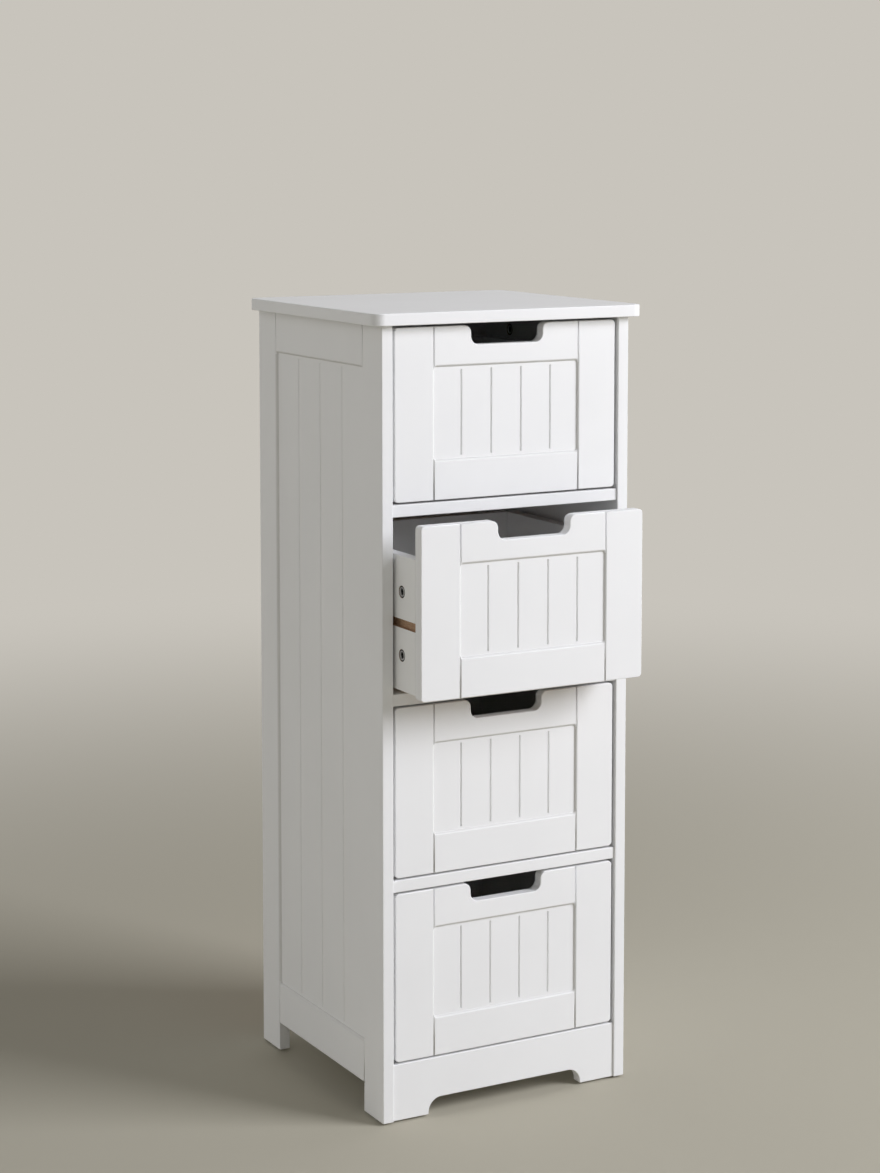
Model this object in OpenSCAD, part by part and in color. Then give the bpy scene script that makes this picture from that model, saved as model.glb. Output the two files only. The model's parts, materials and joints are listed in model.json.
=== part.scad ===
/* [Carcass] */
// Width over the two side panels
carcass_w = 280; // [240:1:360]
// Depth of the side panels, front edge to back edge
side_d = 278; // [250:1:340]
// Thickness of the side panels, apron and bottom board
board_t = 12; // [12:0.5:16]
// Width of a side panel's feet and of the stiles above them
foot_w = 41; // [34:1:60]
// Height of the cut-out between the feet of a side panel
foot_cut_h = 30; // [15:1:36]
// Height of a side panel's frame rail over the feet
side_low_rail_h = 42.5; // [34:0.5:60]
// Height of a side panel's frame rail under the top board
side_top_rail_h = 42; // [40:1:60]
// Distance between the grooves of a side panel
side_groove_pitch = 49; // [30:1:60]
// Height of the foot glides under the panels
glide_t = 2; // [1.5:0.5:5]

/* [Top board] */
// Thickness of the top board
top_t = 12; // [12:0.5:22]
// How far the top board reaches past each side panel
top_side_overhang = 12.5; // [5:0.5:25]
// How far the top board reaches past the front edges
top_front_overhang = 9; // [3:0.5:25]
// Radius of the top board's corners in plan
top_corner_r = 12; // [4:0.5:20]

/* [Front frame] */
// Set-back of the rails, the apron and the closed drawer fronts
front_recess = 2; // [1:0.5:5]
// Thickness of the rails between the drawers
rail_t = 12; // [12:0.5:16]
// Depth of the rails between the drawers
rail_d = 60; // [44:1:90]
// Height of the apron below the lowest drawer
apron_h = 57; // [52:1:90]
// Width of the apron's two feet
apron_foot_w = 40; // [34:1:60]
// Height of the apron's cut-out
apron_cut_h = 16; // [14:0.5:26]
// Radius at the two upper ends of the apron's cut-out
apron_cut_r = 14; // [6:0.5:15.5]

/* [Drawer fronts] */
// Height of a drawer front
front_h = 169; // [150:1:220]
// Thickness of a drawer front
front_t = 12; // [12:0.5:18]
// Gap above and below a drawer front
front_gap = 2; // [1:0.5:4]
// Gap between the uppermost drawer front and the top board
top_gap = 3; // [2:0.5:6]
// Gap between a drawer and each side panel
side_gap = 3; // [2:0.5:5]
// Radius of a drawer front's corners
front_corner_r = 4; // [1:0.5:8]
// Width of the frame stiles on a drawer front
stile_w = 43; // [38:1:60]
// Height of the frame rails on a drawer front
frame_rail_h = 38.5; // [32:0.5:46]
// Distance between the grooves of a drawer front's panel
front_groove_pitch = 33.6; // [20:0.1:50]
// Width of the finger notch
notch_w = 81; // [60:1:110]
// Depth of the finger notch
notch_h = 19; // [16:0.5:24]
// Radius where the notch meets the top edge
notch_top_r = 7; // [3:0.5:8]
// Radius at the foot of the notch
notch_low_r = 8.5; // [3:0.5:9]

/* [Routed frame and panel] */
// Depth of the routed panels below the frame
panel_recess = 2.5; // [1.5:0.25:3.5]
// Radius in the corners of the routed panels
panel_corner_r = 2.5; // [1:0.25:6]
// Width of the rounded rim around the routed panels
rim_w = 2.5; // [0.6:0.1:3]
// How far the rim reaches onto the frame, past the joint lines
rim_past = 1.5; // [0:0.25:3]
// Width of the V-grooves and joint lines
vee_w = 2.2; // [1:0.1:3]
// Depth of the V-grooves and joint lines
vee_d = 1.6; // [0.5:0.1:1.8]
// Distance that the V-grooves stop short of the frame
vee_stop = 5.5; // [4:0.5:10]

/* [Drawer boxes] */
// Thickness of a drawer's side and back boards
box_t = 12; // [12:0.5:15]
// Height of a drawer's sides
box_h = 132; // [125:1:140]
// Height of a drawer's sides above the front's lower edge
box_rise = 4; // [2:1:10]
// Space between a closed drawer's box and the back panel
box_back_gap = 8; // [3:0.5:30]
// Thickness of a drawer's bottom panel
bottom_t = 3; // [2.5:0.5:4]
// Height of the bottom panel above the sides' lower edge
bottom_rise = 8; // [6:0.5:10]
// Depth of the grooves that hold the thin panels
housing_d = 5; // [4:0.5:5.5]
// How far drawer 2 stands open at rest
drawer_2_open = 53; // [10:1:120]

/* [Runners] */
// Height of a runner strip
runner_h = 8; // [8:0.25:10]
// How much shorter a runner strip is than a drawer's sides
runner_short = 20; // [5:1:50]
// Depth of the groove that a runner fills
runner_groove_d = 5; // [3:0.5:6]
// Clearance above and below a runner in its groove
runner_play = 0.3; // [0.2:0.05:0.6]

/* [Back panel] */
// Thickness of the back panel
back_t = 3; // [2.5:0.5:4]
// Distance from the back panel to the side panels' back edges
back_inset = 8; // [5:0.5:14]

/* [Fittings] */
// Diameter of a cam lock
cam_d = 12; // [10:0.5:15]
// How far a cam lock reaches past the middle of its board
cam_past = 3.5; // [3:0.25:4]
// Distance from a board's end to the centre of a cam lock
cam_setback = 27; // [20:0.5:34]
// Diameter of a cam bolt's thread
bolt_d = 6; // [5:0.25:7]
// Length of a cam bolt's thread
bolt_thread_l = 8; // [6:0.5:9]
// Diameter of a wooden dowel
dowel_d = 6; // [5:0.5:6.5]
// Length of a wooden dowel
dowel_l = 24; // [20:1:30]
// Length of a dowel in the face that it is set into
dowel_face_l = 8; // [6:0.5:9]
// Shank diameter of the screws
screw_d = 3.5; // [3:0.25:4]
// Head diameter of the screws
screw_head_d = 7; // [6:0.25:7.5]
// Depth that a runner screw bites into a side panel
runner_bite = 6; // [4:0.5:7]
// Length of the screws in a drawer's back corners
box_screw_l = 30; // [25:1:35]
// Diameter of a foot glide
glide_d = 10; // [8:0.5:12]

/* [Hidden] */
$fn = 48;
cut = 1;
hole_play = 0.1;
panel_play = 0.2;
drawer_count = 4;
side_low_z = glide_t;
apron_top_z = glide_t + apron_h;
bay_pitch = front_h + 2 * front_gap + rail_t;
side_top_z = front_z(1) + front_h + top_gap;
half_w = carcass_w / 2;
inner_half = half_w - board_t;
box_half = inner_half - side_gap;
box_inner_half = box_half - box_t;

// The origin is on the floor, at the middle of the box around the cabinet at rest
nose = max(top_front_overhang, drawer_2_open - front_recess);
edge_y = -(side_d - nose) / 2;
face_y = edge_y + front_recess;
box_y = face_y + front_t;
back_y = edge_y + side_d - back_inset - back_t - panel_play;
apron_y = face_y + board_t;
box_l = back_y - box_back_gap - box_y;
groove_z = box_rise + box_h / 2;
bottom_z = box_rise + bottom_rise;
runner_l = box_l - runner_short;
runner_proud = side_gap + runner_groove_d - runner_play;

// Arc of the rounded rim: how deep its centre lies for its radius, and the radius
rim_ease = 0.94;
rim_r = rim_w / (rim_ease - sqrt(1 - rim_ease * rim_ease));

// Fastener places, measured from the edge that each one is set out from
edge_dowel = 12;
edge_cam = 28;
drawer_cam_rise = 31;
drawer_screw_rise = 40;
drawer_dowel_drop = 16;
drawer_dowel_low_z = bottom_z + bottom_t + panel_play + dowel_d / 2 + 1.8;
top_cam_inset = 62;
top_dowel_inset = 30;
floor_cam_inset = 50;
floor_dowel_inset = 25;
apron_dowel_z = side_low_z + 14;
apron_cam_z = apron_top_z - board_t - cam_d / 2 - 2;
floor_z = apron_top_z - board_t / 2;
runner_screw_inset = 12;
runner_screw_l = runner_proud + runner_bite;
glide_inset = 20;
nail_d = 2;
nail_l = 12;
bolt_shank_d = 4.4;
bolt_neck_d = 3;
bolt_head_d = 5;
bolt_head_l = 4;
cam_slot_w = 1.4;
cam_slot_l = 8;
cam_slot_d = 2;
dowel_chamfer = 1;

white = [0.93, 0.93, 0.91];
inside_white = [0.90, 0.90, 0.88];
beech = [0.80, 0.65, 0.45];
zinc = [0.45, 0.45, 0.46];
steel = [0.70, 0.70, 0.72];
nylon = [0.88, 0.87, 0.83];

function front_z(i) = apron_top_z + front_gap + (drawer_count - i) * bay_pitch;
function rail_z(i) = front_z(i) - front_gap - rail_t;
function opened(i) = i == 2 ? drawer_2_open : 0;

drawer_pieces = [
    "front", "left_side", "right_side", "back", "bottom",
    "cam_locks", "cam_bolts", "dowels", "screws"
];

// Directions and repeats

module along_x() {
    rotate([0, 90, 0]) children();
}

module along_y() {
    rotate([-90, 0, 0]) children();
}

module both_sides() {
    children();
    mirror([1, 0, 0]) children();
}

// An outline in x and z, with its front face at y = 0
module facing_front(thickness) {
    translate([0, thickness, 0]) rotate([90, 0, 0]) linear_extrude(thickness) children();
}

// An outline in y and z, with its left face at x = 0
module facing_side(thickness) {
    rotate([90, 0, 90]) linear_extrude(thickness) children();
}

module rounded_rectangle(size, r) {
    translate([r, 0]) square([size[0] - 2 * r, size[1]]);
    translate([0, r]) square([size[0], size[1] - 2 * r]);
    for (x = [r, size[0] - r]) for (y = [r, size[1] - r]) translate([x, y]) circle(r);
}

// Cutter for a V-groove that runs up along z and bites along +y
module vee(length) {
    linear_extrude(length)
        polygon([[-vee_w / 2, -cut], [-vee_w / 2, 0], [0, vee_d], [vee_w / 2, 0], [vee_w / 2, -cut]]);
}

// Section of what the rim's rounding takes away. The board's face is at y = 0 and the
// wall of the routed panel at x = 0, with the board beyond it.
module rim_section() {
    depth = min(rim_w, panel_recess);
    difference() {
        translate([-cut, -depth]) square([rim_w + 2 * cut, depth + cut]);
        translate([rim_ease * rim_r, -rim_ease * rim_r]) circle(rim_r);
    }
}

// Cutter for a routed panel, down from z = 0, with one corner of its rim at the origin
module routed_panel(size) {
    w = size[0] - 2 * rim_w;
    h = size[1] - 2 * rim_w;
    r = panel_corner_r;
    corners = [[0, 0], [w, 0], [w, h], [0, h]];
    translate([rim_w, rim_w, 0]) {
        translate([0, 0, -panel_recess]) linear_extrude(panel_recess + cut) rounded_rectangle([w, h], r);
        for (i = [0 : 3]) translate(corners[i]) rotate([0, 0, 90 * i]) {
            translate([r, r, 0]) rotate([0, 0, 180]) rotate_extrude(angle = 90)
                translate([r, 0]) rim_section();
            length = i % 2 == 0 ? w : h;
            translate([length - r, 0, 0]) rotate([90, 0, -90]) linear_extrude(length - 2 * r)
                rim_section();
        }
    }
}

// Fittings, each with the hole that takes it

// A cam lock for a board of the given thickness. Its slotted face is at z = 0, its body
// goes down into the board, and it is open towards +x for the head of the bolt.
module cam_lock(thickness) {
    length = thickness / 2 + cam_past;
    difference() {
        translate([0, 0, -length]) cylinder(d = cam_d, h = length);
        for (turn = [0, 90]) rotate([0, 0, turn])
            translate([-cam_slot_l / 2, -cam_slot_w / 2, -cam_slot_d])
                cube([cam_slot_l, cam_slot_w, cam_slot_d + cut]);
        translate([-bolt_head_l / 2 - hole_play, 0, -thickness / 2])
            along_x() cylinder(d = bolt_head_d + 2 * hole_play, h = cam_d);
    }
}

module cam_bore(thickness) {
    depth = thickness / 2 + cam_past + hole_play;
    translate([0, 0, -depth]) cylinder(d = cam_d + hole_play, h = depth + cut);
}

// A cam bolt along +z, with the mating faces meeting at z = 0
module cam_bolt() {
    neck_z = cam_setback - cam_d / 2 - hole_play;
    head_z = cam_setback - bolt_head_l / 2;
    rotate_extrude() polygon([
        [0, -bolt_thread_l], [bolt_d / 2 - 1, -bolt_thread_l], [bolt_d / 2, 1 - bolt_thread_l],
        [bolt_d / 2, 0], [bolt_shank_d / 2, 0], [bolt_shank_d / 2, neck_z], [bolt_neck_d / 2, neck_z],
        [bolt_neck_d / 2, head_z], [bolt_head_d / 2, head_z + 1],
        [bolt_head_d / 2, head_z + bolt_head_l - 1], [0, head_z + bolt_head_l - 0.5]
    ]);
}

module bolt_hole() {
    translate([0, 0, -bolt_thread_l - hole_play])
        cylinder(d = bolt_d + hole_play, h = bolt_thread_l + hole_play + cut);
}

module bolt_channel() {
    translate([0, 0, -cut]) cylinder(d = bolt_d + hole_play, h = cam_setback + cut);
}

// A dowel along +z, with its shorter end in the face below z = 0
module dowel() {
    r = dowel_d / 2;
    low = -dowel_face_l;
    high = dowel_l - dowel_face_l;
    rotate_extrude() polygon([
        [0, low], [r - dowel_chamfer, low], [r, low + dowel_chamfer],
        [r, high - dowel_chamfer], [r - dowel_chamfer, high], [0, high]
    ]);
}

module dowel_hole() {
    translate([0, 0, -dowel_face_l - hole_play])
        cylinder(d = dowel_d + hole_play, h = dowel_l + 2 * hole_play);
}

// A countersunk screw driven along -z, with its head flush at z = 0
module screw(length) {
    head_l = (screw_head_d - screw_d) / 2;
    difference() {
        rotate_extrude() polygon([
            [0, -length], [screw_d / 2, -length + screw_d], [screw_d / 2, -head_l],
            [screw_head_d / 2, 0], [0, 0]
        ]);
        for (turn = [0, 90]) rotate([0, 0, turn])
            translate([-screw_head_d / 4, -0.5, -head_l / 2]) cube([screw_head_d / 2, 1, cut + head_l]);
    }
}

module screw_hole(length) {
    head_l = (screw_head_d - screw_d) / 2;
    translate([0, 0, -length - hole_play]) cylinder(d = screw_d + hole_play, h = length + cut);
    rotate_extrude() polygon([
        [0, -head_l - hole_play], [screw_d / 2, -head_l - hole_play],
        [screw_head_d / 2 + hole_play, 0], [screw_head_d / 2 + hole_play, cut], [0, cut]
    ]);
}

// Where the fittings of the carcass sit. Each module repeats its child at every place,
// turned so that the child's +z runs into the end of the board that is joined on.

// Right-hand ends of the rails, the apron and the bottom board
module rail_ends(inset) {
    for (i = [1 : drawer_count - 1])
        translate([inner_half, face_y + inset, rail_z(i) + rail_t / 2]) rotate([0, -90, 0]) children();
}

module apron_end(z) {
    translate([inner_half, face_y + board_t / 2, z]) rotate([0, -90, 0]) children();
}

module floor_ends(inset) {
    for (y = [apron_y + inset, back_y - inset])
        translate([inner_half, y, floor_z]) rotate([0, -90, 0]) children();
}

// Upper edge of the right side panel, under the top board
module top_ends(inset) {
    for (y = [edge_y + inset, edge_y + side_d - inset])
        translate([half_w - board_t / 2, y, side_top_z]) rotate([0, 180, 0]) children();
}

module carcass_bolt_places() {
    rail_ends(edge_cam) children();
    apron_end(apron_cam_z) children();
    floor_ends(floor_cam_inset) children();
    top_ends(top_cam_inset) children();
}

module carcass_dowel_places() {
    rail_ends(edge_dowel) children();
    apron_end(apron_dowel_z) children();
    floor_ends(floor_dowel_inset) children();
    top_ends(top_dowel_inset) children();
}

module rail_cam_places() {
    for (i = [1 : drawer_count - 1])
        translate([inner_half - cam_setback, face_y + edge_cam, rail_z(i)]) rotate([180, 0, 0]) children();
}

module apron_cam_place() {
    translate([inner_half - cam_setback, apron_y, apron_cam_z]) along_y() children();
}

module floor_cam_places() {
    for (y = [apron_y + floor_cam_inset, back_y - floor_cam_inset])
        translate([inner_half - cam_setback, y, apron_top_z - board_t]) rotate([180, 0, 0]) children();
}

module top_cam_places() {
    for (y = [edge_y + top_cam_inset, edge_y + side_d - top_cam_inset])
        translate([inner_half, y, side_top_z - cam_setback]) rotate([0, -90, 0]) children();
}

module glide_places() {
    for (y = [edge_y + glide_inset, edge_y + side_d - glide_inset])
        translate([half_w - board_t / 2, y, 0]) children();
}

// Runner i against the right side panel, with its screws along +x
module runner_place(i) {
    translate([inner_half, box_y + runner_play, front_z(i) + groove_z]) children();
}

module runner_screw_places(i) {
    runner_place(i) for (y = [runner_screw_inset, runner_l - runner_screw_inset])
        translate([-runner_proud, y, 0]) rotate([0, -90, 0]) children();
}

// Carcass boards

module top_board() {
    width = carcass_w + 2 * top_side_overhang;
    depth = side_d + top_front_overhang;
    color(white) difference() {
        translate([-width / 2, edge_y - top_front_overhang, side_top_z])
            linear_extrude(top_t) rounded_rectangle([width, depth], top_corner_r);
        both_sides() {
            top_ends(top_cam_inset) bolt_hole();
            top_ends(top_dowel_inset) dowel_hole();
        }
        translate([-inner_half - housing_d, back_y, side_top_z - cut])
            cube([2 * (inner_half + housing_d), back_t + panel_play, housing_d + cut]);
    }
}

// Routed panel with its V-grooves on the right side panel, and the joint lines of the frame
module side_panel_routing() {
    panel_y = edge_y + foot_w - rim_past;
    panel_d = side_d - 2 * (foot_w - rim_past);
    panel_low = side_low_z + foot_cut_h + side_low_rail_h - rim_past;
    panel_high = side_top_z - side_top_rail_h + rim_past;
    translate([half_w, panel_y, panel_low]) rotate([90, 0, 90])
        routed_panel([panel_d, panel_high - panel_low]);
    for (i = [-1 : 1])
        translate([half_w - panel_recess, edge_y + side_d / 2 + i * side_groove_pitch, panel_low + vee_stop])
            rotate([0, 0, 90]) vee(panel_high - panel_low - 2 * vee_stop);
    for (y = [edge_y + foot_w, edge_y + side_d - foot_w]) {
        translate([half_w, y, panel_high - rim_w - rim_past]) rotate([0, 0, 90])
            vee(side_top_rail_h + rim_w + cut);
        translate([half_w, y, side_low_z + foot_cut_h - cut]) rotate([0, 0, 90])
            vee(side_low_rail_h + rim_w + cut);
    }
}

module right_side_panel() {
    color(white) difference() {
        translate([inner_half, edge_y, side_low_z]) facing_side(board_t) difference() {
            square([side_d, side_top_z - side_low_z]);
            translate([foot_w, -cut]) square([side_d - 2 * foot_w, foot_cut_h + cut]);
        }
        side_panel_routing();
        translate([inner_half - cut, back_y, side_low_z - cut])
            cube([housing_d + cut, back_t + panel_play, side_top_z - side_low_z + 2 * cut]);
        rail_ends(edge_cam) bolt_hole();
        apron_end(apron_cam_z) bolt_hole();
        floor_ends(floor_cam_inset) bolt_hole();
        top_ends(top_cam_inset) bolt_channel();
        carcass_dowel_places() dowel_hole();
        top_cam_places() cam_bore(board_t);
        for (i = [1 : drawer_count]) runner_screw_places(i) screw_hole(runner_screw_l);
        glide_places() cylinder(d = nail_d + hole_play, h = glide_t + nail_l + hole_play);
    }
}

module left_side_panel() {
    mirror([1, 0, 0]) right_side_panel();
}

module back_panel() {
    half = inner_half + housing_d - panel_play;
    low = apron_top_z - board_t;
    color(white) translate([-half, back_y, low])
        cube([2 * half, back_t, side_top_z + housing_d - panel_play - low]);
}

module bottom_board() {
    color(inside_white) difference() {
        translate([-inner_half, apron_y, apron_top_z - board_t])
            cube([2 * inner_half, back_y - apron_y, board_t]);
        both_sides() {
            floor_ends(floor_cam_inset) bolt_channel();
            floor_ends(floor_dowel_inset) dowel_hole();
            floor_cam_places() cam_bore(board_t);
        }
    }
}

// The cut-out between the apron's feet, with quarter-round upper ends
module apron_cut_out() {
    half = inner_half - apron_foot_w;
    translate([-half, -cut]) square([2 * half, apron_cut_h - apron_cut_r + cut]);
    translate([apron_cut_r - half, -cut]) square([2 * (half - apron_cut_r), apron_cut_h + cut]);
    for (side = [-1, 1])
        translate([side * (half - apron_cut_r), apron_cut_h - apron_cut_r]) circle(apron_cut_r);
}

module front_apron() {
    color(white) difference() {
        translate([0, face_y, side_low_z]) facing_front(board_t) difference() {
            translate([-inner_half, 0]) square([2 * inner_half, apron_h]);
            apron_cut_out();
        }
        both_sides() {
            apron_end(apron_cam_z) bolt_channel();
            apron_end(apron_dowel_z) dowel_hole();
            apron_cam_place() cam_bore(board_t);
        }
    }
}

module front_rail(i) {
    color(white) difference() {
        translate([-inner_half, face_y, rail_z(i)]) cube([2 * inner_half, rail_d, rail_t]);
        both_sides() {
            rail_ends(edge_cam) bolt_channel();
            rail_ends(edge_dowel) dowel_hole();
            rail_cam_places() cam_bore(rail_t);
        }
    }
}

module right_runner(i) {
    color(nylon) difference() {
        runner_place(i) translate([-runner_proud, 0, -runner_h / 2])
            cube([runner_proud, runner_l, runner_h]);
        runner_screw_places(i) screw_hole(runner_screw_l);
    }
}

module left_runner(i) {
    mirror([1, 0, 0]) right_runner(i);
}

// Carcass fittings

module runner_screws() {
    color(steel) both_sides()
        for (i = [1 : drawer_count]) runner_screw_places(i) screw(runner_screw_l);
}

module carcass_cam_locks() {
    color(zinc) both_sides() {
        rail_cam_places() cam_lock(rail_t);
        apron_cam_place() cam_lock(board_t);
        floor_cam_places() cam_lock(board_t);
        top_cam_places() cam_lock(board_t);
    }
}

module carcass_cam_bolts() {
    color(steel) both_sides() carcass_bolt_places() cam_bolt();
}

module carcass_dowels() {
    color(beech) both_sides() carcass_dowel_places() dowel();
}

module foot_glides() {
    color(nylon) both_sides() glide_places() {
        cylinder(d1 = glide_d - 1, d2 = glide_d, h = 0.5);
        translate([0, 0, 0.5]) cylinder(d = glide_d, h = glide_t - 0.5);
        translate([0, 0, glide_t]) cylinder(d = nail_d, h = nail_l);
    }
}

// Drawers. Each drawer is drawn shut and is then moved forward by how far it stands open.

module drawer_frame(i) {
    translate([0, box_y - opened(i), front_z(i)]) children();
}

module drawer_bolt_places() {
    for (z = [groove_z - drawer_cam_rise, groove_z + drawer_cam_rise])
        translate([box_half - box_t / 2, 0, z]) along_y() children();
}

module drawer_dowel_places() {
    for (z = [drawer_dowel_low_z, box_rise + box_h - drawer_dowel_drop])
        translate([box_half - box_t / 2, 0, z]) along_y() children();
}

module drawer_cam_places() {
    for (z = [groove_z - drawer_cam_rise, groove_z + drawer_cam_rise])
        translate([box_half, cam_setback, z]) rotate([90, 0, 90]) rotate([0, 0, 180]) children();
}

module drawer_screw_places() {
    for (z = [groove_z - drawer_screw_rise, groove_z + drawer_screw_rise])
        translate([box_half, box_l - box_t / 2, z]) along_x() children();
}

// Outline of the finger notch, open upwards at z = 0
module notch_outline() {
    half = notch_w / 2;
    translate([-half, notch_low_r - notch_h]) square([notch_w, notch_h - notch_low_r + cut]);
    translate([notch_low_r - half, -notch_h]) square([notch_w - 2 * notch_low_r, notch_h]);
    for (side = [-1, 1]) {
        translate([side * (half - notch_low_r), notch_low_r - notch_h]) circle(notch_low_r);
        translate([side * (half + notch_top_r / 2), -notch_top_r / 2]) difference() {
            square([notch_top_r, notch_top_r], center = true);
            translate([side * notch_top_r / 2, -notch_top_r / 2]) circle(notch_top_r);
        }
    }
    translate([-half - notch_top_r, 0]) square([notch_w + 2 * notch_top_r, cut]);
}

// Routed panel with its V-grooves, and the joint lines of the frame
module front_routing() {
    joint_x = box_half - stile_w;
    panel_low = frame_rail_h - rim_past;
    panel_h = front_h - 2 * panel_low;
    translate([-joint_x - rim_past, -front_t, panel_low]) rotate([90, 0, 0])
        routed_panel([2 * (joint_x + rim_past), panel_h]);
    for (i = [-1.5 : 1.5])
        translate([i * front_groove_pitch, panel_recess - front_t, panel_low + vee_stop])
            vee(panel_h - 2 * vee_stop);
    for (x = [-joint_x, joint_x]) {
        translate([x, -front_t, -cut]) vee(frame_rail_h + rim_w + cut);
        translate([x, -front_t, front_h - frame_rail_h - rim_w]) vee(frame_rail_h + rim_w + cut);
    }
}

module drawer_front(i) {
    color(white) drawer_frame(i) difference() {
        translate([-box_half, -front_t, 0]) facing_front(front_t) difference() {
            rounded_rectangle([2 * box_half, front_h], front_corner_r);
            translate([box_half, front_h]) notch_outline();
        }
        front_routing();
        both_sides() {
            drawer_bolt_places() bolt_hole();
            drawer_dowel_places() dowel_hole();
        }
        translate([-box_inner_half - housing_d, -housing_d, bottom_z])
            cube([2 * (box_inner_half + housing_d), housing_d + cut, bottom_t + panel_play]);
    }
}

module drawer_right_side(i) {
    color(inside_white) drawer_frame(i) difference() {
        translate([box_inner_half, 0, box_rise]) cube([box_t, box_l, box_h]);
        translate([box_half - runner_groove_d, -cut, groove_z - runner_h / 2 - runner_play])
            cube([runner_groove_d + cut, box_l + 2 * cut, runner_h + 2 * runner_play]);
        translate([box_inner_half - cut, -cut, bottom_z])
            cube([housing_d + cut, box_l + 2 * cut, bottom_t + panel_play]);
        drawer_bolt_places() bolt_channel();
        drawer_dowel_places() dowel_hole();
        drawer_cam_places() cam_bore(box_t);
        drawer_screw_places() screw_hole(box_screw_l);
    }
}

module drawer_left_side(i) {
    mirror([1, 0, 0]) drawer_right_side(i);
}

module drawer_back(i) {
    low = bottom_z + bottom_t + panel_play;
    color(inside_white) drawer_frame(i) difference() {
        translate([-box_inner_half, box_l - box_t, low])
            cube([2 * box_inner_half, box_t, box_rise + box_h - low]);
        both_sides() drawer_screw_places() screw_hole(box_screw_l);
    }
}

module drawer_bottom(i) {
    half = box_inner_half + housing_d - panel_play;
    tongue = housing_d - panel_play;
    color(white) drawer_frame(i) translate([-half, -tongue, bottom_z])
        cube([2 * half, box_l + tongue, bottom_t]);
}

module drawer_cam_locks(i) {
    color(zinc) drawer_frame(i) both_sides() drawer_cam_places() cam_lock(box_t);
}

module drawer_cam_bolts(i) {
    color(steel) drawer_frame(i) both_sides() drawer_bolt_places() cam_bolt();
}

module drawer_dowels(i) {
    color(beech) drawer_frame(i) both_sides() drawer_dowel_places() dowel();
}

module drawer_screws(i) {
    color(steel) drawer_frame(i) both_sides() drawer_screw_places() screw(box_screw_l);
}

top_board();
left_side_panel();
right_side_panel();
back_panel();
bottom_board();
front_apron();
front_rail(1);  // upper_rail
front_rail(2);  // middle_rail
front_rail(3);  // lower_rail
runner_screws();
carcass_cam_locks();
carcass_cam_bolts();
carcass_dowels();
foot_glides();
for (i = [1 : drawer_count]) {
    left_runner(i);
    right_runner(i);
    drawer_front(i);
    drawer_left_side(i);
    drawer_right_side(i);
    drawer_back(i);
    drawer_bottom(i);
    drawer_cam_locks(i);
    drawer_cam_bolts(i);
    drawer_dowels(i);
    drawer_screws(i);
}
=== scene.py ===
import json
from math import cos, pi, radians, sin

import bmesh
import bpy
from mathutils import Matrix, Vector


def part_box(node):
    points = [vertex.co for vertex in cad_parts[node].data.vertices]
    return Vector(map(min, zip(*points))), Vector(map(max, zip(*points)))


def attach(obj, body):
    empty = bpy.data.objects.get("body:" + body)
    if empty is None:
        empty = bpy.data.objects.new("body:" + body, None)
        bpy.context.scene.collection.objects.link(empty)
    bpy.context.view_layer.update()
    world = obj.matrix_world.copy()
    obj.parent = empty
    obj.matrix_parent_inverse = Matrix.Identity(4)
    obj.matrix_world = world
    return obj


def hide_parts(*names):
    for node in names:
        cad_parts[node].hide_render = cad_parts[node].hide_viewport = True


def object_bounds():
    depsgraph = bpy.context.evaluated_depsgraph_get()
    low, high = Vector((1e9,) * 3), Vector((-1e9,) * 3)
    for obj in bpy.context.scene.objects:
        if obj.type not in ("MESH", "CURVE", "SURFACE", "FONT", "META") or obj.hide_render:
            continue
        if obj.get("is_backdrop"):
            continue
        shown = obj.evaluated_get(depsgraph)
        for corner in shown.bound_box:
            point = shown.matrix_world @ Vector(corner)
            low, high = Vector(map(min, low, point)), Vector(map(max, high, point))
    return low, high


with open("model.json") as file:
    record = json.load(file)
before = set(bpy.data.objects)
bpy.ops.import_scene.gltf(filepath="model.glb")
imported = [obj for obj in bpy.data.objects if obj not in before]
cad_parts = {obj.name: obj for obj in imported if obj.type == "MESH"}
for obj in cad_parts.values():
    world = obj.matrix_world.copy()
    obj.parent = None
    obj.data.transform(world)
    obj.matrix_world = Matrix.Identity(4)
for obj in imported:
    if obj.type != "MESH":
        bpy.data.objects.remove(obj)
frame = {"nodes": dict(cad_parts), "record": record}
cad_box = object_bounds()

MM = 0.001

# Points nearer than the weld are one, and points this near the widest are on a fitting's wide end
WELD = 0.001 * MM
NEAR = 0.01 * MM

nodes = frame["nodes"]
body_of_node = {
    node: body
    for body, members in frame["record"]["behaviour"]["bodies"].items()
    for node in members
}

# Softened edges: of a board's outline, of strips and thin panels, and of a groove's lip as a share
ARRIS = 0.9 * MM
STRIP_ARRIS = 0.5 * MM
LIP = 0.15

# The angle of a sharp edge, that between level faces, and how square a face is to an axis
SHARP = radians(25)
LEVEL = radians(0.3)
FLAT = 0.99

# How deep a routed face can lie, and how wide a strip of the rounding at its rim can be
ROUTED_DEPTH = 4.4 * MM
ROUNDING_STRIP = 1.2 * MM

# How near the board's box its outside lies, and the share of its thickness that its outline spans
SKIN = 0.2 * MM
THROUGH = 0.95

# The raised rim of a cam lock, the dish inside it and the dish's depth
RIM_W = 9.2 * MM
DISH_W = 7.4 * MM
DISH_DEPTH = 1.7 * MM


class Size:
    """A size or a field in a node tree. Arithmetic on it adds the tree's math nodes."""

    def __init__(self, tree, socket):
        self.tree, self.socket = tree, socket

    def math(self, operation, first, second=0.0):
        node = add(self.tree, "ShaderNodeMath", {0: first, 1: second}, operation=operation)
        return Size(self.tree, node.outputs[0])

    def __add__(self, other):
        return self.math("ADD", self, other)

    def __sub__(self, other):
        return self.math("SUBTRACT", self, other)

    def __rsub__(self, other):
        return self.math("SUBTRACT", other, self)

    def __mul__(self, other):
        return self.math("MULTIPLY", self, other)

    def __truediv__(self, other):
        return self.math("DIVIDE", self, other)

    def __neg__(self):
        return self.math("MULTIPLY", self, -1.0)


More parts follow.
